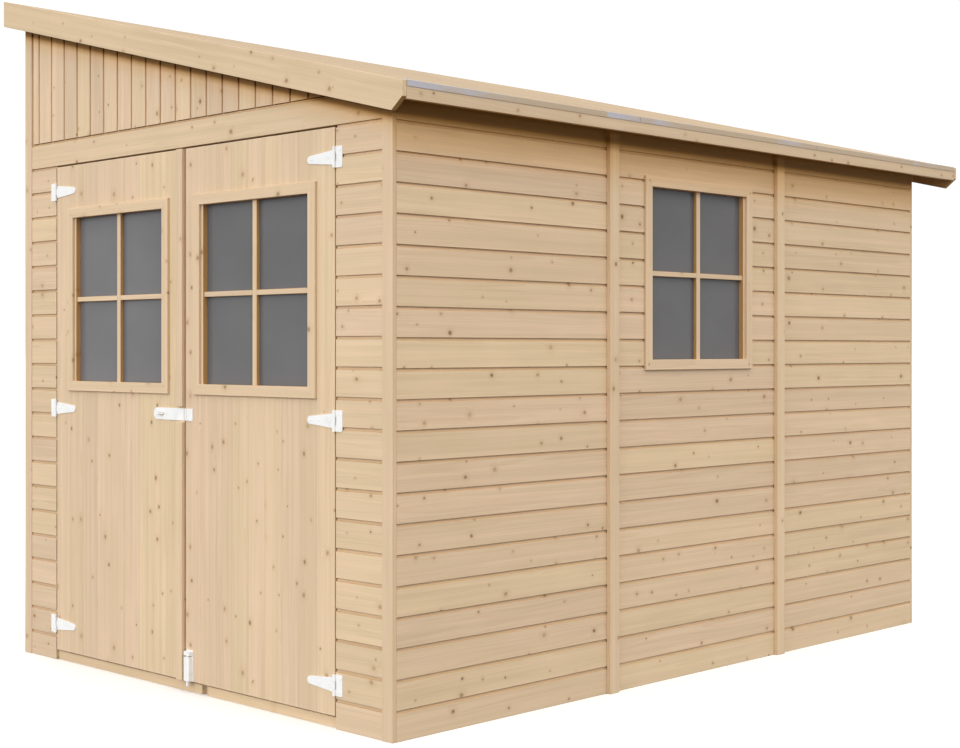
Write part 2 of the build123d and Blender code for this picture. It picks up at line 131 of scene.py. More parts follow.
class ShedScrewSizes(bpy.types.PropertyGroup):
    """Screws of the hinges and the hasp"""

    radius: length("Radius", "Radius of a screw's head", 0.0036)
    height: length("Height", "How far a head stands off its plate", 0.0012)
    sunk: length("Sunk", "Part of a head inside its plate", 0.0004)
    plate_inset: length("Plate inset", "From a hinge plate's outer end to its screws", 0.0110)
    plate_rise: length("Plate rise", "From a hinge plate's middle up to a screw", 0.0200)
    strap_first: length("Strap first", "From a strap's tip to its first screw", 0.0140)
    strap_second: length("Strap second", "From a strap's tip to its second screw", 0.0540)
    strap_third: length("Strap third", "From a strap's tip to its third screw", 0.1000)
    leaf_inset: length("Leaf inset", "From the hasp leaf's end to its screws", 0.0100)
    leaf_rise: length("Leaf rise", "From the hasp leaf's middle up to a screw", 0.0110)


class ShedFinishes(bpy.types.PropertyGroup):
    """Colours of the wood, the metal and the glass"""

    early_wood: colour("Early wood", "Pale wood between the growth lines", 0.690, 0.531, 0.345)
    late_wood: colour("Late wood", "Darker wood of the growth lines", 0.550, 0.362, 0.198)
    pink_wood: colour("Pink wood", "Wood with a pink cast", 0.676, 0.507, 0.352)
    # The next three colours are painted shade: brown in hollows, on faces across the grain and on undersides;
    # amber under the eaves; dark behind the fascia and the barge board
    shaded_wood: colour("Shaded wood", "Brown of hollows and cut edges", 0.395, 0.185, 0.036)
    sheltered_wood: colour("Sheltered wood", "Amber wood under the roof", 0.660, 0.360, 0.110)
    hidden_wood: colour("Hidden wood", "Dark wood behind the fascia and the barge board", 0.100, 0.040, 0.006)
    knot_heart: colour("Knot heart", "Middle of a knot", 0.170, 0.092, 0.042)
    knot_halo: colour("Knot halo", "Wood round a knot", 0.520, 0.320, 0.160)
    white_coat: colour("White coat", "Coating of the hinges, hasp and bolt", 0.840, 0.840, 0.835)
    strip_metal: colour("Strip metal", "Blue-grey drip strip along the eaves", 0.430, 0.425, 0.470)
    # Colour that the strip takes towards the rear of each length
    strip_rear_tint: colour("Strip worn", "Drip strip in the wood's colour", 0.450, 0.345, 0.235)
    pane: colour("Pane", "Grey of the panes", 0.130, 0.128, 0.132)
    strip_start: length("Strip start", "Place along the eaves where the strip's first length begins", -1.565)
    strip_length: length("Strip length", "Length of strip over which it takes on the wood's colour", 0.966)
    ring_pitch: length("Ring pitch", "Distance between growth lines", 0.0046)
    knot_cell: length("Knot cell", "Distance between places where a knot may lie", 0.088)
    knot_least: length("Least knot", "Radius of the smallest knots", 0.0032)
    knot_growth: length("Knot growth", "What the widest knots add to that radius", 0.0064)


class ShedStudio(bpy.types.PropertyGroup):
    """Camera, lights and floor"""

    camera_place: FloatVectorProperty(
        name="Camera place", description="Where the camera stands", default=(4.4932, -4.6383, 1.1356),
        size=3, subtype="TRANSLATION", unit="LENGTH",
    )
    camera_turn: FloatProperty(
        name="Camera turn", description="Heading of the camera about the vertical",
        default=math.radians(44.48), subtype="ANGLE", unit="ROTATION",
    )
    picture_width: share("Picture width", "Pixels across the picture", 960.0)
    picture_height: share("Picture height", "Pixels down the picture", 748.0)
    focal_pixels: share("Focal length", "Focal length in pixels of the picture", 1632.78)
    horizon_pixel: share("Horizon", "Pixel row of the horizon, from the top", 349.28)
    sensor_width: share("Sensor width", "Camera sensor in millimetres", 36.0)
    sky: share("Sky", "Strength of the white dome over the floor", 1.06)
    below: share("Below", "Share of the dome's strength that comes from below", 0.10)
    front_light: share("Front light", "Strength of the soft light on the doors", 1.75)
    front_heading: FloatVectorProperty(
        name="Front heading", description="Way that the light on the doors travels",
        default=(0.0, 0.98, -0.20), size=3, subtype="DIRECTION",
    )
    side_light: share("Side light", "Strength of the soft light on the low wall", 1.32)
    side_tint: colour("Side tint", "Warmth of the light on the low wall", 1.0, 0.945, 0.875)
    side_heading: FloatVectorProperty(
        name="Side heading", description="Way that the light on the low wall travels",
        default=(-0.62, 0.0, -0.78), size=3, subtype="DIRECTION",
    )
    light_spread: FloatProperty(
        name="Light spread", description="Width of the soft lights as the shed sees them",
        default=math.radians(60.0), subtype="ANGLE", unit="ROTATION",
    )
    floor_reach: length("Floor reach", "Radius of the floor", 300.0)
    floor_tint: colour("Floor tint", "Pale floor", 0.97, 0.97, 0.97)


# Shader sums

class Value:
    """A socket of a finish that can stand in a sum"""

    def __init__(self, finish, socket):
        self.finish = finish
        self.socket = socket

    def __add__(self, other):
        return self.finish.sum("ADD", self, other)

    def __radd__(self, other):
        return self.finish.sum("ADD", other, self)

    def __sub__(self, other):
        return self.finish.sum("SUBTRACT", self, other)

    def __rsub__(self, other):
        return self.finish.sum("SUBTRACT", other, self)

    def __mul__(self, other):
        return self.finish.sum("MULTIPLY", self, other)

    def __rmul__(self, other):
        return self.finish.sum("MULTIPLY", other, self)

    def __truediv__(self, other):
        return self.finish.sum("DIVIDE", self, other)

    def __pow__(self, other):
        return self.finish.sum("POWER", self, other)

    def __gt__(self, other):
        return self.finish.sum("GREATER_THAN", self, other)

    def __lt__(self, other):
        return self.finish.sum("LESS_THAN", self, other)


class Finish:
    """Node tree of one material"""

    def __init__(self, name):
        self.material = bpy.data.materials.new(name)
        self.material.use_nodes = True
        self.tree = self.material.node_tree
        self.surface = self.tree.nodes["Principled BSDF"]

    def add(self, kind, settings, inputs, output=0):
        """Adds a node, with its settings first, and gives one of its outputs."""
        node = self.tree.nodes.new(kind)
        for key, value in settings.items():
            setattr(node, key, value)
        for key, value in inputs.items():
            self.join(node.inputs[key], value)
        return Value(self, node.outputs[output])

    def join(self, socket, value):
        """Sets a socket, or links it."""
        if isinstance(value, Value):
            self.tree.links.new(value.socket, socket)
        else:
            socket.default_value = value

    def set(self, **sockets):
        """Sets or links sockets of the surface, named with _ for a space."""
        for name, value in sockets.items():
            self.join(self.surface.inputs[name.replace("_", " ")], value)

    def sum(self, operation, *values):
        """A Math node."""
        return self.add("ShaderNodeMath", {"operation": operation}, dict(enumerate(values)))

    def mix(self, factor, one, two, way="MIX"):
        """Two colours mixed."""
        return self.add(
            "ShaderNodeMix", {"data_type": "RGBA", "blend_type": way}, {0: factor, 6: one, 7: two}, 2
        )

    def ease(self, value, low, high):
        """Nought at low, one at high and smooth between."""
        return self.add(
            "ShaderNodeMapRange", {"interpolation_type": "SMOOTHSTEP"},
            {0: value, 1: low, 2: high, 3: 0.0, 4: 1.0},
        )

    def vector(self, operation, one, two):
        """A Vector Math node."""
        return self.add("ShaderNodeVectorMath", {"operation": operation}, {0: one, 1: two})

    def parts(self, vector):
        """The three numbers of a vector."""
        split = self.add("ShaderNodeSeparateXYZ", {}, {0: vector}).socket.node
        return [Value(self, output) for output in split.outputs]

    def place(self):
        """Coordinates of the shed."""
        return self.add("ShaderNodeTexCoord", {}, {}, "Object")

    def noise(self, place, scales, detail=2.0):
        """Cloud noise about one half, with its scale along each axis."""
        scaled = self.vector("MULTIPLY", place, scales)
        return self.add("ShaderNodeTexNoise", {}, {"Vector": scaled, "Scale": 1.0, "Detail": detail})

    def bump(self, strength, distance, height):
        """Normal of a finely raised surface."""
        inputs = {"Strength": strength, "Distance": distance, "Height": height}
        return self.add("ShaderNodeBump", {}, inputs, "Normal")

    def attribute(self, name, output):
        """A value kept on the mesh."""
        return self.add("ShaderNodeAttribute", {"attribute_name": name}, {}, output)


def painted_eaves_shade(finish, wood, looks):
    """Painted shade: wood made amber under the eaves, brown close under the roof boards and dark behind their
    fascia, on top of the shade that the lights give.
    """
    hair = 0.001
    end_skin = wall_reach.y - 0.030
    low_skin = low_wall_high.x - 0.020

    # Depths under the roof between which each painted shade comes or goes, its change on a gable, and its
    # share
    amber_fade, amber_pull, amber_share = (0.080, 0.270), 0.5, 0.70
    brown_fade, brown_drop, brown_share = (0.084, 0.117), 0.006, 0.95
    dark_rise, dark_fade, dark_drop, dark_share = (0.050, 0.072), (0.080, 0.092), 0.012, 0.60

    x, y, z = finish.parts(finish.place())
    depth = eaves_line.z + roof_slope * (eaves_line.x - x) - z
    side = finish.sum("ABSOLUTE", x)
    end = finish.sum("ABSOLUTE", y)
    gable = (end > end_skin) * (side < low_wall_high.x - hair)
    close = 1.0 - finish.ease(depth - brown_drop * gable, *brown_fade)
    wide = 1.0 - finish.ease(depth + amber_pull * depth * gable, *amber_fade)
    behind = depth - dark_drop * gable
    faces = finish.sum("MAXIMUM", x > low_skin, y < -end_skin)
    dim = finish.ease(behind, *dark_rise) * (1.0 - finish.ease(behind, *dark_fade)) * faces
    walls = (side < wall_reach.x) * (end < wall_reach.y) * (depth > hair)
    # Painted shade mixed into the wood: amber, then brown, then dark
    amber = finish.mix(amber_share * wide * walls, wood, looks.sheltered_wood)
    brown = finish.mix(brown_share * close * walls, amber, looks.shaded_wood)
    return finish.mix(dark_share * dim * walls, brown, looks.hidden_wood)


def pine(name, brightness, knottiness, gloss):
    """Bare pine: growth rings round a pith of each board's own, streaks, fibres, knots, and painted shade in
    hollows, on faces across the grain and under the eaves.
    """
    looks = bpy.context.scene.shed_finishes
    finish = Finish(name)
    grain = finish.attribute("grain", "Vector")
    chance = finish.attribute("chance", "Vector")
    edge = finish.attribute("edge", "Fac")
    along, across, depth = finish.parts(grain)
    first, second, third = finish.parts(chance)
    placed = finish.vector("ADD", grain, finish.vector("MULTIPLY", chance, (31.0, 17.0, 23.0)))

    # Knots, in some of the cells of a board
    cell = looks.knot_cell
    spots = finish.vector("MULTIPLY", placed, (0.85 / cell, 1.0 / cell, 0.0))
    wander = finish.noise(placed, (60.0, 60.0, 60.0), 1.0)
    voronoi = finish.add(
        "ShaderNodeTexVoronoi", {"voronoi_dimensions": "2D"}, {"Vector": spots, "Scale": 1.0}
    )
    reach = voronoi * cell * (0.7 + 0.6 * wander)
    lot, girth, age = finish.parts(Value(finish, voronoi.socket.node.outputs["Color"]))
    present = lot > 1.0 - knottiness * finish.attribute("knots", "Fac")
    radius = looks.knot_least + looks.knot_growth * girth ** 1.6
    heart = (1.0 - finish.ease(reach / radius, 0.25, 1.2)) * present
    halo = (1.0 - finish.ease(reach / radius, 0.8, 3.2)) * present

    # Growth lines, streaks and fibres
    drift = finish.noise(placed, (1.4, 9.0, 9.0))
    pith_across = across - 0.045 + 0.10 * (second - 0.5) + 0.05 * (first - 0.5) * along
    pith_depth = depth - 0.014 - 0.07 * third
    ring_radius = finish.sum("SQRT", pith_across * pith_across + pith_depth * pith_depth)
    phase = (ring_radius + 0.018 * drift + 0.010 * halo) / looks.ring_pitch
    late = finish.sum("FRACT", phase) ** 2.0
    fibre = finish.noise(placed, (5.0, 520.0, 520.0), 3.0)
    streak = finish.noise(placed, (1.3, 55.0, 55.0), 3.0)
    cloud = finish.noise(placed, (4.5, 13.0, 13.0))

    # Colour
    pink = finish.ease(0.45 * cloud + 0.35 * streak + 0.50 * (third - 0.5), 0.16, 0.64)
    wood = finish.mix(pink, looks.early_wood, looks.pink_wood)
    wood = finish.mix(late * (0.10 + 0.33 * drift), wood, looks.late_wood)
    wood = finish.mix(halo * 0.22, wood, looks.knot_halo)
    wood = finish.mix(heart * (0.32 + 0.56 * age), wood, looks.knot_heart)
    # Painted shade: brown on faces across the grain, in the coves of lapped boards and on sheltered
    # undersides, as the edge attribute gives
    wood = finish.mix(edge * 0.6, wood, looks.shaded_wood)
    # Painted shade under the eaves and behind the fascia
    wood = painted_eaves_shade(finish, wood, looks)
    board_tone = 0.945 + 0.09 * first
    grain_tone = (0.95 + 0.10 * fibre) * (0.84 + 0.32 * streak) * (0.93 + 0.14 * cloud)
    value = brightness * board_tone * grain_tone
    tone = finish.add("ShaderNodeCombineColor", {}, {0: value, 1: value, 2: value})
    wood = finish.mix(1.0, wood, tone, "MULTIPLY")
    height = 0.6 * fibre + 0.25 * late - 0.8 * heart
    finish.set(
        Base_Color=wood, Roughness=gloss + 0.12 * fibre - 0.08 * late, Specular_IOR_Level=0.16,
        Normal=finish.bump(0.22, 0.0008, height),
    )
    return finish.material


def toned(tint, factor):
    """A tint made darker or paler."""
    return (*(factor * part for part in tint[:3]), 1.0)


def white_coat():
    """White coated steel with a faint orange-peel and rubbed patches."""
    looks = bpy.context.scene.shed_finishes
    finish = Finish("white_coat")
    place = finish.place()
    peel = finish.noise(place, (900.0, 900.0, 900.0), 1.0)
    cloud = finish.noise(place, (28.0, 28.0, 28.0), 3.0)
    coat = finish.mix(finish.ease(cloud, 0.48, 0.75), looks.white_coat, toned(looks.white_coat, 0.92))
    finish.set(Base_Color=coat, Roughness=0.30 + 0.2 * cloud, Normal=finish.bump(0.08, 0.0004, peel))
    return finish.material


def drip_strip():
    """Blue-grey strip that takes on the wood's colour towards the rear of each length."""
    looks = bpy.context.scene.shed_finishes
    finish = Finish("drip_strip")
    place = finish.place()
    along = finish.parts(place)[1]
    steps = (along - looks.strip_start) / looks.strip_length
    travel = finish.sum("FRACT", steps)
    later = finish.sum("FLOOR", steps)
    cloud = finish.noise(place, (12.0, 14.0, 60.0), 3.0)
    # Blue-grey at the front of each length, turning to the wood's colour towards its rear, with cloudy edges
    rearward = finish.ease(travel + 0.16 * later + 0.9 * (cloud - 0.5), 0.0, 0.72)
    metal = finish.mix(rearward, looks.strip_metal, looks.strip_rear_tint)
    finish.set(Base_Color=metal, Roughness=0.42 + 0.2 * cloud, Normal=finish.bump(0.1, 0.0006, cloud))
    return finish.material


def grey_pane():
    """Grey sheet that shows a little of the room behind it, with a painted reflection that makes the left
    door's panes paler.
    """
    looks = bpy.context.scene.shed_finishes
    finish = Finish("grey_pane")
    place = finish.place()
    haze = finish.noise(place, (3.0, 3.0, 5.0), 3.0)
    # Painted reflection: panes paler on the left door, by place across the shed
    reflection_from, reflection_to = -0.34, 0.02
    painted_reflection = 1.0 - finish.ease(finish.parts(place)[0], reflection_from, reflection_to)
    haze_and_reflection = 0.25 * finish.ease(haze, 0.35, 0.7) + 0.75 * painted_reflection
    pane = finish.mix(haze_and_reflection, looks.pane, toned(looks.pane, 1.30))
    finish.set(
        Base_Color=pane, Roughness=0.16 + 0.12 * haze, Specular_IOR_Level=0.22, Alpha=0.92 + 0.06 * haze
    )
    return finish.material


finish_makers = {
    "wall_boards": lambda: pine("wall_pine", brightness=1.0, knottiness=0.44, gloss=0.62),
    "trim_boards": lambda: pine("trim_pine", brightness=1.0, knottiness=0.34, gloss=0.60),
    "door_boards": lambda: pine("door_pine", brightness=1.01, knottiness=0.46, gloss=0.60),
    "roof_boards": lambda: pine("roof_pine", brightness=0.66, knottiness=0.28, gloss=0.80),
    # Sawn pine is paler than the boards; part of this is painted light, to brighten the sills that lie in the
    # doors' shade
    "frame_timber": lambda: pine("sawn_pine", brightness=1.12, knottiness=0.30, gloss=0.72),
    "floor_boards": lambda: pine("floor_pine", brightness=0.94, knottiness=0.30, gloss=0.70),
    "white_fittings": white_coat,
    "eaves_strip": drip_strip,
    "glass": grey_pane,
}
finishes = {}


def finish_of(slot):
    """The one material of a slot, made when it is first asked for."""
    if slot not in finishes:
        finishes[slot] = finish_makers[slot]()
    return finishes[slot]


# Boards and timbers

def stand(origin, along, outward):
    """Place of a board: x runs along its grain, z out of its face."""
    across = outward.cross(along)
    turn = Matrix((along, across, outward)).transposed().to_4x4()
    return Matrix.Translation(origin) @ turn


def plank(section, run):
    """Closed board of one section, in points across and out, run along x."""
    board = bmesh.new()
    face = board.faces.new([board.verts.new((0.0, across, out)) for across, out in section])
    grown = bmesh.ops.extrude_face_region(board, geom=[face])["geom"]
    ends = [item for item in grown if isinstance(item, bmesh.types.BMVert)]
    bmesh.ops.translate(board, verts=ends, vec=(run, 0.0, 0.0))
    bmesh.ops.recalc_face_normals(board, faces=board.faces[:])
    return board


def eased(width, thickness, ease):
    """Oblong section with its four corners taken off."""
    return [
        (ease, 0.0),
        (width - ease, 0.0),
        (width, -ease),
        (width, ease - thickness),
        (width - ease, -thickness),
        (ease, -thickness),
        (0.0, ease - thickness),
        (0.0, -ease),
    ]


def lapped(cover, thickness, cove_steps=4):
    """Section of a lapped board: lip and rebate below, cove and tongue above."""
    sizes = bpy.context.scene.shed_boards
    lip = sizes.cove_depth - sizes.lap_play
    rebate = sizes.lap + sizes.lap_play
    turns = [math.pi / 2 * step / cove_steps for step in range(cove_steps + 1)]
    cove = [
        (cover - sizes.cove_height * math.cos(turn), -sizes.cove_depth * math.sin(turn)) for turn in turns
    ]
    return [
        (0.0, -lip),
        (0.0, -sizes.lip_ease),
        (sizes.lip_ease, 0.0),
        *cove,
        (cover + sizes.lap, -sizes.cove_depth),
        (cover + sizes.lap, -thickness),
        (rebate, -thickness),
        (rebate, -lip),
    ]


def cut(board, point, normal):
    """Takes off what lies beyond a plane and closes the cut."""
    shape = board.verts[:] + board.edges[:] + board.faces[:]
    sliced = bmesh.ops.bisect_plane(board, geom=shape, plane_co=point, plane_no=normal, clear_outer=True)
    rim = [item for item in sliced["geom_cut"] if isinstance(item, bmesh.types.BMEdge)]
    if rim:
        bmesh.ops.holes_fill(board, edges=rim)


def bevel(board, ease):
    """Eases every edge of a timber."""
    bmesh.ops.bevel(
        board, geom=board.edges[:], offset=ease, affect="EDGES", segments=2, profile=0.5, material=-1,
        clamp_overlap=True,
    )


def corners(shape):
    """Lowest and highest corner of a mesh."""
    places = [vert.co for vert in shape.verts]
    low = Vector([min(place[axis] for place in places) for axis in range(3)])
    high = Vector([max(place[axis] for place in places) for axis in range(3)])
    return low, high


def solids(node):
    """Clean copies of a node's solids, one mesh each."""
    same_place = 1e-6
    flat = math.radians(0.5)
    whole = bmesh.new()
    whole.from_mesh(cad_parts[node].data)
    bmesh.ops.remove_doubles(whole, verts=whole.verts[:], dist=same_place)
    bmesh.ops.dissolve_limit(
        whole, angle_limit=flat, use_dissolve_boundaries=False, verts=whole.verts[:],
        edges=whole.edges[:], delimit=set(),
    )
    whole.verts.index_update()
    waiting = set(whole.verts)
    found = []
    while waiting:
        island = set()
        edge_of_walk = [min(waiting, key=lambda vert: vert.index)]
        while edge_of_walk:
            vert = edge_of_walk.pop()
            if vert not in island:
                island.add(vert)
                edge_of_walk += [link.other_vert(vert) for link in vert.link_edges]
        waiting -= island
        kept = {vert.index for vert in island}
        one = whole.copy()
        bmesh.ops.delete(one, geom=[vert for vert in one.verts if vert.index not in kept], context="VERTS")
        found.append(one)
    whole.free()
    return found


def grain_of(timber, square=0.1):
    """Run of a timber's grain, along its longest edge, and its widest face square to that."""
    longest = max(timber.edges, key=lambda edge: edge.calc_length())
    along = (longest.verts[1].co - longest.verts[0].co).normalized()
    sides = [face for face in timber.faces if abs(face.normal.dot(along)) < square]
    return along, max(sides, key=lambda face: face.calc_area()).normal.copy()


# Painted shade on the faces across the grain, in coves, sides and edges, as a share of a lapped wall board's
timber_edge_shade = 0.2
gable_edge_shade = 0.25
transom_edge_shade = 1.6
meeting_strip_edge_shade = 0.15
window_edge_shade = 1.35


class Pile:
    """Boards of one piece, gathered in one mesh with the run of their grain"""

    def __init__(self, name, shade=1.0, tone=0.0, knots=1.0, under=0.0):
        self.name = name
        self.shade = shade
        self.tone = tone
        self.knots = knots
        self.under = under
        self.draw = random.Random(name)
        self.mesh = bmesh.new()

    def chance(self):
        """Three numbers that set a board apart from its neighbours."""
        return Vector((self.draw.random() + self.tone, self.draw.random(), self.draw.random()))

    def lay(self, board, place, chance=None, shade=None):
        """Adds a board that is given in its own frame."""
        grain = board.verts.layers.float_vector.new("grain")
        kept_chance = board.verts.layers.float_vector.new("chance")
        edge = board.faces.layers.float.new("edge")
        knots = board.faces.layers.float.new("knots")
        chance = chance or self.chance()
        for vert in board.verts:
            vert[grain] = vert.co
            vert[kept_chance] = chance
        shade = self.shade if shade is None else shade
        turned_away = -0.5
        board.normal_update()
        for face in board.faces:
            way = place.to_3x3() @ face.normal
            inward = way.xy.dot(place.translation.xy) < turned_away
            downward = way.z < turned_away
            # Painted shade: on faces across the grain by the shade share, and on faces that look inward or
            # down by the under share
            face[edge] = shade * abs(face.normal.y) + self.under * (inward or downward)
            face[knots] = self.knots
        bmesh.ops.transform(board, matrix=place, verts=board.verts[:])
        scrap = bpy.data.meshes.new("scrap")
        board.to_mesh(scrap)
        board.free()
        self.mesh.from_mesh(scrap)
        bpy.data.meshes.remove(scrap)

    def copy_timbers(self, node, ease):
        """Adds a node's timbers with their edges eased."""
        for timber in solids(node):
            timber.normal_update()
            along, outward = grain_of(timber)
            place = stand((corners(timber)[0] + corners(timber)[1]) / 2, along, outward)
            bevel(timber, ease)
            bmesh.ops.transform(timber, matrix=place.inverted(), verts=timber.verts[:])
            self.lay(timber, place)

    def piece(self, body, slot, *nodes):
        """The finished object, on its body and in place of its nodes."""
        mesh = bpy.data.meshes.new(self.name)
        self.mesh.to_mesh(mesh)
        self.mesh.free()
        mesh.materials.append(finish_of(slot))
        thing = bpy.data.objects.new(self.name, mesh)
        bpy.context.scene.collection.objects.link(thing)
        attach(thing, body)
        if nodes:
            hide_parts(*nodes)


def spans(low, high, hole_low, hole_high, row_low, row_high, run_low, run_high):
    """Pieces of one board round a hole, as (run from, run to, cut below, cut above)."""
    if row_high <= hole_low or row_low >= hole_high or run_high <= low or run_low >= high:
        return [(run_low, run_high, None, None)]
    pieces = [(run_low, low, None, None), (high, run_high, None, None)]
    if row_low < hole_low:
        pieces.append((low, high, None, hole_low))
    if row_high > hole_high:
        pieces.append((low, high, hole_high, None))
    return pieces


def lay_boards(pile, section_of, origin, along, outward, run, rows, hole=None, cuts=()):
    """Rows of boards on one face, trimmed by cuts of (point, normal).

    A hole is (run low, run high, row low, row high) in the frame of the face.
    """
    across = outward.cross(along)
    for row_low, row_high in rows:
        chance = pile.chance()
        pieces = [(*run, None, None)]
        if hole:
            pieces = spans(*hole, row_low, row_high, *run)
        for run_low, run_high, below, above in pieces:
            board = plank(section_of(row_high - row_low), run_high - run_low)
            place = stand(origin + along * run_low + across * row_low, along, outward)
            if below is not None:
                cut(board, (0.0, below - row_low, 0.0), (0.0, -1.0, 0.0))
            if above is not None:
                cut(board, (0.0, above - row_low, 0.0), (0.0, 1.0, 0.0))
            back = place.inverted()
            for point, normal in cuts:
                cut(board, back @ point, back.to_3x3() @ normal)
            if board.verts:
                pile.lay(board, place, chance)
            else:
                board.free()


def split(low, high, cover):
    """Whole boards of about one cover between two ends."""
    count = max(1, round((high - low) / cover))
    pitch = (high - low) / count
    return [(low + pitch * row, low + pitch * (row + 1)) for row in range(count)]


def rows_up(high, cover, slack=0.001):
    """Rows of one cover from the ground up past a height."""
    count = math.ceil(high / cover - slack)
    return [(row * cover, (row + 1) * cover) for row in range(count)]


def lapped_wall(pile, panel, outward, cover, hole_box=None, cuts=()):
    """Level lapped boards over one panel."""
    low, high = panel
    along = up.cross(outward)
    face = max(low.dot(outward), high.dot(outward))
    thickness = abs((high - low).dot(outward))
    start, end = sorted((low.dot(along), high.dot(along)))
    hole = None
    if hole_box:
        left, right = sorted(corner.dot(along) - start for corner in hole_box)
        hole = (left, right, hole_box[0].z, hole_box[1].z)
    lay_boards(
        pile, lambda width: lapped(width, thickness), along * start + outward * face, along, outward,
        (0.0, end - start), rows_up(high.z, cover), hole, cuts,
    )


def window_hole(pane):
    """Hole that the lining of a window fills, from the corners of its pane."""
    lining = bpy.context.scene.shed_windows.lining_thickness
    low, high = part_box(pane)
    middle = (low + high) / 2
    reach = (high - low) / 2
    grown = Vector([size + lining if size > lining else size for size in reach])
    return middle - grown, middle + grown


def dress_nodes(slot, *nodes):
    """Gives solids of the frame their finish."""
    for node in nodes:
        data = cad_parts[node].data
        data.materials.clear()
        data.materials.append(finish_of(slot))


class ShedPiece:
    """Shared parts of the shed's operators"""

    bl_options = {"REGISTER", "UNDO"}


class SHED_OT_wall_boards(ShedPiece, bpy.types.Operator):
    """Lapped boards of the four walls"""

    bl_idname = "shed.wall_boards"
    bl_label = "Wall boards"

    def execute(self, context):
        sizes = context.scene.shed_boards
        sides = (
            ("low_wall_boards", "low_wall_panels", low_side, None),
            ("low_wall_window_boards", "low_wall_window_panel", low_side, window_hole("side_window_glass")),
            ("high_wall_boards", "high_wall_panels", high_side, None),
        )
        for name, node, outward, hole in sides:
            pile = Pile(name)
            for panel in solids(node):
                lapped_wall(pile, corners(panel), outward, sizes.cover, hole, [under_roof])
            pile.piece("root", "wall_boards", node)
        ends = (
            ("front_side_boards", "front_side_panels", front),
            ("rear_wall_boards", "rear_wall_panels", rear),
        )
        for name, node, outward in ends:
            pile = Pile(name)
            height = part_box(node)[1].z
            cover = height / round(height / sizes.cover)
            cuts = [] if outward == front else [(up * height, up)]
            for panel in solids(node):
                lapped_wall(pile, corners(panel), outward, cover, None, cuts)
            pile.piece("root", "wall_boards", node)
        return {"FINISHED"}


class SHED_OT_gables(ShedPiece, bpy.types.Operator):
    """Upright boards of the gables and the transom over the doors"""

    bl_idname = "shed.gables"
    bl_label = "Gables"

    def execute(self, context):
        sizes = context.scene.shed_boards
        for name, node, outward in (
            ("front_gable_boards", "front_gable", front), ("rear_gable_boards", "rear_gable", rear),
        ):
            low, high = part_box(node)
            across = outward.cross(up)
            face = max(low.dot(outward), high.dot(outward))
            start, end = sorted((low.dot(across), high.dot(across)))
            thickness = high.y - low.y
            first = low_side.dot(across) * sizes.gable_start
            count = math.ceil((end - start) / sizes.gable_cover)
            marks = [first + place * sizes.gable_cover for place in range(-count, count)]
            ends = [start] + [mark for mark in marks if start < mark < end] + [end]
            pile = Pile(name, gable_edge_shade)
            lay_boards(
                pile, lambda width: lapped(width, thickness), outward * face + up * low.z, up, outward,
                (0.0, high.z - low.z), list(zip(ends, ends[1:])), None, [under_roof, (across * end, across)],
            )
            pile.piece("root", "wall_boards", node)
        low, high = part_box("front_transom")
        pile = Pile("transom_board", transom_edge_shade)
        origin = low_side * low.x + front * -low.y
        lay_boards(
            pile, lambda width: lapped(width, high.y - low.y), origin, low_side, front,
            (0.0, high.x - low.x), [(low.z, high.z)], None, [(up * (high.z - sizes.transom_gap), up)],
        )
        pile.piece("root", "wall_boards", "front_transom")
        return {"FINISHED"}


class SHED_OT_timbers(ShedPiece, bpy.types.Operator):
    """Frame, trims, battens, fascias, barge boards, joists and sills with eased edges"""

    bl_idname = "shed.timbers"
    bl_label = "Timbers"

    def execute(self, context):
        ease = context.scene.shed_boards.edge_ease
        groups = {
            "frame_timber": (
                "side_wall_rails", "side_wall_studs", "end_wall_posts", "end_wall_rails", "roof_purlins",
                "floor_joists", "front_sills",
            ),
            "trim_boards": ("corner_trims", "joint_battens", "eaves_fascia", "high_fascia", "barge_boards"),
        }
        # Darker tone, more knots and painted shade on the inward and downward faces of the boards along the
        # roof's edges; the barge boards' darker tone stands in for shade as well
        roof_edges = {
            "barge_boards": {"tone": -0.9, "knots": 1.5, "under": 1.3},
            "eaves_fascia": {"tone": -0.6, "knots": 2.2, "under": 1.3},
            "high_fascia": {"tone": 0.0, "knots": 1.8, "under": 1.3},
        }
        for slot, nodes in groups.items():
            for node in nodes:
                pile = Pile(f"{node}_wood", timber_edge_shade, **roof_edges.get(node, {}))
                pile.copy_timbers(node, ease)
                if node == "front_sills":
                    self.packing(context, pile)
                pile.piece("root", slot, node)
        return {"FINISHED"}

    def packing(self, context, pile):
        """Short block between the two sills, a little behind their faces."""
        sizes = context.scene.shed_boards
        boxes = []
        for sill in solids("front_sills"):
            boxes.append(corners(sill))
            sill.free()
        left, right = sorted(boxes, key=lambda box: box[0].x)
        run = right[0].x - left[1].x
        block = plank(eased(left[1].z, sizes.packing_depth, sizes.joint_ease), run)
        corner = Vector((left[1].x, left[0].y + sizes.packing_setback, 0.0))
        pile.lay(block, stand(corner, low_side, front))


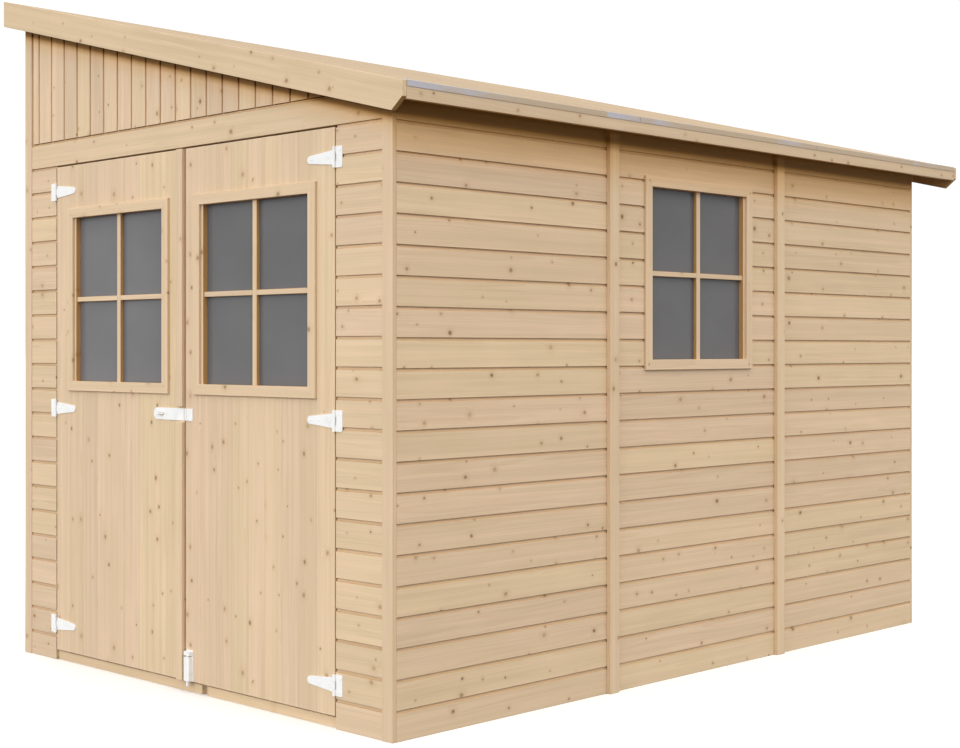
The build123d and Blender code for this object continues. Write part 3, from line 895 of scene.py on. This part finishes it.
class SHED_OT_roof(ShedPiece, bpy.types.Operator):
    """Roof boards that run down the slope, and the drip strips"""

    bl_idname = "shed.roof"
    bl_label = "Roof"

    def execute(self, context):
        sizes = context.scene.shed_boards
        pile = Pile("roof_deck")
        down = Vector((1, 0, -roof_slope)).normalized()
        thickness = deck_drop * roof_normal.z
        top = Vector((deck_low.x, 0.0, deck_high.z))
        reach = (deck_high.x - deck_low.x) * math.hypot(1.0, roof_slope)
        spare = deck_drop
        for panel in solids("roof_panels"):
            low, high = corners(panel)
            rows = split(low.y, high.y, sizes.roof_cover)
            for row_low, row_high in rows:
                width = row_high - row_low - sizes.joint_gap
                board = plank(eased(width, thickness, sizes.joint_ease), reach + 2 * spare)
                place = stand(top - down * spare + rear * row_low, down, roof_normal)
                back = place.inverted()
                for end, outward in ((deck_low.x, high_side), (deck_high.x, low_side)):
                    cut(board, back @ Vector((end, 0.0, 0.0)), back.to_3x3() @ outward)
                pile.lay(board, place)
        pile.piece("root", "roof_boards", "roof_panels")
        dress_nodes("eaves_strip", "eaves_strips")
        return {"FINISHED"}


class SHED_OT_floor(ShedPiece, bpy.types.Operator):
    """Floor boards across the joists"""

    bl_idname = "shed.floor"
    bl_label = "Floor"

    def execute(self, context):
        sizes = context.scene.shed_boards
        low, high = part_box("floor_boards")
        sill_low, sill_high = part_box("front_sills")
        pile = Pile("floor_deck")
        thickness = high.z - low.z
        strips = [((low.x, high.x), row) for row in split(sill_high.y, high.y, sizes.floor_cover)]
        strips += [((low.x, sill_low.x), (low.y, sill_high.y)), ((sill_high.x, high.x), (low.y, sill_high.y))]
        for (run_low, run_high), (row_low, row_high) in strips:
            width = row_high - row_low - sizes.joint_gap
            board = plank(eased(width, thickness, sizes.joint_ease), run_high - run_low)
            pile.lay(board, stand(Vector((run_low, row_low, high.z)), low_side, up))
        pile.piece("root", "floor_boards", "floor_boards")
        return {"FINISHED"}


class SHED_OT_doors(ShedPiece, bpy.types.Operator):
    """Upright boards, ledges and braces of the doors, and the meeting strip"""

    bl_idname = "shed.doors"
    bl_label = "Doors"

    def execute(self, context):
        sizes = context.scene.shed_boards
        for side in ("left", "right"):
            body = f"{side}_door"
            low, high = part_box(f"{side}_door_leaf")
            across = front.cross(up)
            start, end = sorted((low.dot(across), high.dot(across)))
            thickness = high.y - low.y
            hole_low, hole_high = window_hole(f"{side}_door_window_glass")
            hole_across = sorted((hole_low.dot(across), hole_high.dot(across)))
            hole = (hole_low.z - low.z, hole_high.z - low.z, *hole_across)
            pile = Pile(f"{side}_door_boards", timber_edge_shade)
            lay_boards(
                pile, lambda width: eased(width - sizes.joint_gap, thickness, sizes.joint_ease),
                front * -low.y + up * low.z, up, front, (0.0, high.z - low.z),
                split(start, end, sizes.door_cover), hole,
            )
            pile.piece(body, "door_boards", f"{side}_door_leaf")
            pile = Pile(f"{side}_door_braces", timber_edge_shade)
            pile.copy_timbers(f"{side}_door_ledges", sizes.edge_ease)
            pile.piece(body, "frame_timber", f"{side}_door_ledges")
        pile = Pile("meeting_strip_wood", meeting_strip_edge_shade)
        pile.copy_timbers("meeting_strip", sizes.edge_ease)
        pile.piece("left_door", "trim_boards", "meeting_strip")
        return {"FINISHED"}


class SHED_OT_windows(ShedPiece, bpy.types.Operator):
    """Mitred trim, lining, glazing bars and panes of the three windows"""

    bl_idname = "shed.windows"
    bl_label = "Windows"

    def execute(self, context):
        windows = (
            ("side_window", "root", low_side),
            ("left_door_window", "left_door", front),
            ("right_door_window", "right_door", front),
        )
        for name, body, outward in windows:
            frame_low, frame_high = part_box(f"{name}_frame")
            pane_low, pane_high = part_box(f"{name}_glass")
            pile = Pile(f"{name}_wood")
            self.joinery(context, pile, frame_low, frame_high, pane_low, pane_high, outward)
            pile.piece(body, "trim_boards", f"{name}_frame")
            dress_nodes("glass", f"{name}_glass")
        return {"FINISHED"}

    def joinery(self, context, pile, frame_low, frame_high, pane_low, pane_high, outward):
        """All the timbers of one window."""
        sizes = context.scene.shed_windows
        level = up.cross(outward)
        middle = (pane_low + pane_high) / 2
        wide = abs((pane_high - pane_low).dot(level))
        tall = pane_high.z - pane_low.z
        trim_face = max(frame_low.dot(outward), frame_high.dot(outward))
        wall_face = trim_face - sizes.trim_thickness
        pane_face = max(pane_low.dot(outward), pane_high.dot(outward))
        centre = middle - outward * middle.dot(outward)
        clear = wide + 2 * sizes.side_reveal
        pale, pink = 0.7, 0.45
        chance = Vector((pale, pile.draw.random(), pink))
        trim = eased(sizes.trim_width, sizes.trim_thickness, sizes.ease)
        lining = eased(sizes.lining_thickness, sizes.lining_depth, sizes.ease)
        frames = ((trim, trim_face, clear, timber_edge_shade), (lining, wall_face, wide, window_edge_shade))
        for way in (1, -1):
            for section, face, width, shade in frames:
                place = centre + outward * face
                self.mitred(pile, section, place, level * way, outward, width, tall, chance, shade)
                self.mitred(pile, section, place, up * way, outward, tall, width, chance, shade)
        pane_back = min(pane_low.dot(outward), pane_high.dot(outward))
        bar_face = wall_face - sizes.bar_setback
        half = sizes.upright_bar / 2
        bars = (
            (sizes.upright_bar, up, -tall / 2, tall / 2),
            (sizes.level_bar, level, -wide / 2, -half),
            (sizes.level_bar, level, half, wide / 2),
        )
        for face, depth in ((bar_face, bar_face - pane_face), (pane_back, sizes.back_bar)):
            for width, along, start, end in bars:
                across = outward.cross(along)
                bar = plank(eased(width, depth, sizes.ease), end - start)
                corner = centre + outward * face + along * start - across * (width / 2)
                pile.lay(bar, stand(corner, along, outward), None, window_edge_shade)

    def mitred(self, pile, section, centre, along, outward, reach, offset, chance, shade):
        """One side of a mitred frame, outside an opening."""
        width = max(across for across, out in section)
        board = plank(section, reach + 2 * width)
        for end, way in ((width, -1.0), (reach + width, 1.0)):
            cut(board, (end, 0.0, 0.0), (way, -1.0, 0.0))
        across = outward.cross(along)
        place = stand(centre - along * (reach / 2 + width) + across * (offset / 2), along, outward)
        pile.lay(board, place, chance, shade)


class SHED_OT_fittings(ShedPiece, bpy.types.Operator):
    """Coated hinges, hasp and bolt, with their screws"""

    bl_idname = "shed.fittings"
    bl_label = "Fittings"

    def execute(self, context):
        dress_nodes(
            "white_fittings", "hinge_plates", "left_hinge_straps", "right_hinge_straps", "hasp_strap",
            "hasp_staple", "hasp_leaf", "door_bolt",
        )
        sizes = context.scene.shed_screws
        middle = (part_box("left_hinge_straps")[1].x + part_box("right_hinge_straps")[0].x) / 2
        plates = [self.plate(solid, middle) for solid in solids("hinge_plates")]
        places = []
        for end, inward, height in plates:
            for rise in (-sizes.plate_rise, sizes.plate_rise):
                places.append(Vector((end + inward * sizes.plate_inset, 0.0, height + rise)))
        self.screws(sizes, "hinge_plate_screws", "root", places)
        for side in ("left", "right"):
            places = []
            straps = [self.plate(solid, middle) for solid in solids(f"{side}_hinge_straps")]
            for end, inward, height in straps:
                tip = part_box(f"{side}_hinge_straps")[inward > 0].x
                for inset in (sizes.strap_first, sizes.strap_second, sizes.strap_third):
                    places.append(Vector((tip - inward * inset, 0.0, height)))
            if side == "right":
                low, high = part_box("hasp_leaf")
                for rise in (-sizes.leaf_rise, sizes.leaf_rise):
                    places.append(Vector((high.x - sizes.leaf_inset, 0.0, (low.z + high.z) / 2 + rise)))
            self.screws(sizes, f"{side}_door_screws", f"{side}_door", places)
        return {"FINISHED"}

    def plate(self, solid, middle):
        """Outer end of a hinge half, the way from it to the doors' meeting edge, and its height."""
        low, high = corners(solid)
        solid.free()
        if (low.x + high.x) / 2 < middle:
            return low.x, 1.0, (low.z + high.z) / 2
        return high.x, -1.0, (low.z + high.z) / 2

    def screws(self, sizes, name, body, places):
        """Low round heads with a sunk middle, on the face of the fittings."""
        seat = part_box("hasp_strap")[0].y
        rim = sizes.radius * 0.25
        brow = sizes.radius * 0.7
        whole = bmesh.new()
        for place in places:
            head = bmesh.ops.create_cone(
                whole, cap_ends=True, segments=20, radius1=sizes.radius, radius2=brow,
                depth=sizes.height + sizes.sunk,
            )["verts"]
            lift = Matrix.Translation(place + front * (sizes.height / 2 - sizes.sunk / 2 - seat))
            turn = Matrix.Rotation(math.pi / 2, 4, "X")
            bmesh.ops.transform(whole, matrix=lift @ turn, verts=head)
            sides = {face for vert in head for face in vert.link_faces}
            tops = [face for face in sides if face.normal.dot(front) > 0.9]
            bmesh.ops.inset_individual(whole, faces=tops, thickness=rim, depth=-sizes.height / 2)
        mesh = bpy.data.meshes.new(name)
        bmesh.ops.recalc_face_normals(whole, faces=whole.faces[:])
        whole.to_mesh(mesh)
        whole.free()
        mesh.materials.append(finish_of("white_fittings"))
        thing = bpy.data.objects.new(name, mesh)
        bpy.context.scene.collection.objects.link(thing)
        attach(thing, body)


class SHED_OT_studio(ShedPiece, bpy.types.Operator):
    """Pale floor, soft lights and the camera"""

    bl_idname = "shed.studio"
    bl_label = "Studio"

    def execute(self, context):
        studio = context.scene.shed_studio
        self.floor(context, studio)
        self.lights(context, studio)
        self.camera(context, studio)
        context.scene.view_settings.view_transform = "Standard"
        return {"FINISHED"}

    def floor(self, context, studio):
        """Wide pale disc that takes the shed's shadow."""
        disc = bmesh.new()
        bmesh.ops.create_circle(disc, cap_ends=True, segments=96, radius=studio.floor_reach)
        mesh = bpy.data.meshes.new("studio_floor")
        disc.to_mesh(mesh)
        disc.free()
        finish = Finish("studio_floor")
        cloud = finish.noise(finish.place(), (0.6, 0.6, 0.6))
        finish.set(Base_Color=tuple(studio.floor_tint), Roughness=0.75 + 0.1 * cloud)
        mesh.materials.append(finish.material)
        ground = bpy.data.objects.new("studio_floor", mesh)
        context.scene.collection.objects.link(ground)
        ground.visible_diffuse = False

    def lights(self, context, studio):
        """White dome that is dim below the horizon, and two soft lights."""
        dim_height, full_height = -0.12, -0.03
        world = bpy.data.worlds.new("white_dome")
        world.use_nodes = True
        nodes = world.node_tree.nodes
        links = world.node_tree.links
        heading = nodes.new("ShaderNodeTexCoord")
        split_heading = nodes.new("ShaderNodeSeparateXYZ")
        height = nodes.new("ShaderNodeMapRange")
        height.interpolation_type = "SMOOTHSTEP"
        ramp = (dim_height, full_height, studio.sky * studio.below, studio.sky)
        for socket, value in enumerate(ramp, start=1):
            height.inputs[socket].default_value = value
        links.new(heading.outputs["Generated"], split_heading.inputs[0])
        links.new(split_heading.outputs["Z"], height.inputs[0])
        links.new(height.outputs[0], nodes["Background"].inputs["Strength"])
        nodes["Background"].inputs["Color"].default_value = (1.0, 1.0, 1.0, 1.0)
        context.scene.world = world
        lamps = (
            ("front_light", studio.front_light, studio.front_heading, (1.0, 1.0, 1.0)),
            ("side_light", studio.side_light, studio.side_heading, studio.side_tint[:3]),
        )
        for name, strength, way, tint in lamps:
            light = bpy.data.lights.new(name, "SUN")
            light.energy = strength
            light.color = tint
            light.angle = studio.light_spread
            lamp = bpy.data.objects.new(name, light)
            lamp.rotation_euler = Vector(way).to_track_quat("-Z", "Y").to_euler()
            context.scene.collection.objects.link(lamp)

    def camera(self, context, studio):
        """Level camera, with its picture shifted to the horizon."""
        lens = bpy.data.cameras.new("picture_camera")
        lens.sensor_width = studio.sensor_width
        lens.lens = studio.focal_pixels * studio.sensor_width / studio.picture_width
        lens.shift_y = (studio.horizon_pixel - studio.picture_height / 2) / studio.picture_width
        lens.clip_end = 3 * studio.floor_reach
        camera = bpy.data.objects.new("picture_camera", lens)
        camera.location = studio.camera_place
        camera.rotation_euler = (math.pi / 2, 0.0, studio.camera_turn)
        context.scene.collection.objects.link(camera)
        context.scene.camera = camera


operators = (
    SHED_OT_wall_boards,
    SHED_OT_gables,
    SHED_OT_timbers,
    SHED_OT_roof,
    SHED_OT_floor,
    SHED_OT_doors,
    SHED_OT_windows,
    SHED_OT_fittings,
    SHED_OT_studio,
)


class SHED_PT_panel(bpy.types.Panel):
    """Sidebar list of the shed's pieces"""

    bl_label = "Shed"
    bl_idname = "SHED_PT_panel"
    bl_space_type = "VIEW_3D"
    bl_region_type = "UI"
    bl_category = "Shed"

    def draw(self, context):
        for operator in operators:
            self.layout.operator(operator.bl_idname)
        for group in property_groups:
            box = self.layout.box()
            values = getattr(context.scene, group)
            for key in values.__annotations__:
                box.prop(values, key)


property_groups = {
    "shed_boards": ShedBoardSizes,
    "shed_windows": ShedWindowSizes,
    "shed_screws": ShedScrewSizes,
    "shed_finishes": ShedFinishes,
    "shed_studio": ShedStudio,
}


def register():
    """Registers the groups, operators and panel."""
    for name, group in property_groups.items():
        bpy.utils.register_class(group)
        setattr(bpy.types.Scene, name, PointerProperty(type=group))
    for operator in operators:
        bpy.utils.register_class(operator)
    bpy.utils.register_class(SHED_PT_panel)


def unregister():
    """Takes everything back out."""
    bpy.utils.unregister_class(SHED_PT_panel)
    for operator in reversed(operators):
        bpy.utils.unregister_class(operator)
    for name, group in property_groups.items():
        delattr(bpy.types.Scene, name)
        bpy.utils.unregister_class(group)


def main():
    """Dresses the shed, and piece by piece."""
    register()
    bpy.ops.shed.wall_boards()
    bpy.ops.shed.gables()
    bpy.ops.shed.timbers()
    bpy.ops.shed.roof()
    bpy.ops.shed.floor()
    bpy.ops.shed.doors()
    bpy.ops.shed.windows()
    bpy.ops.shed.fittings()
    bpy.ops.shed.studio()


if __name__ == "__main__":
    main()
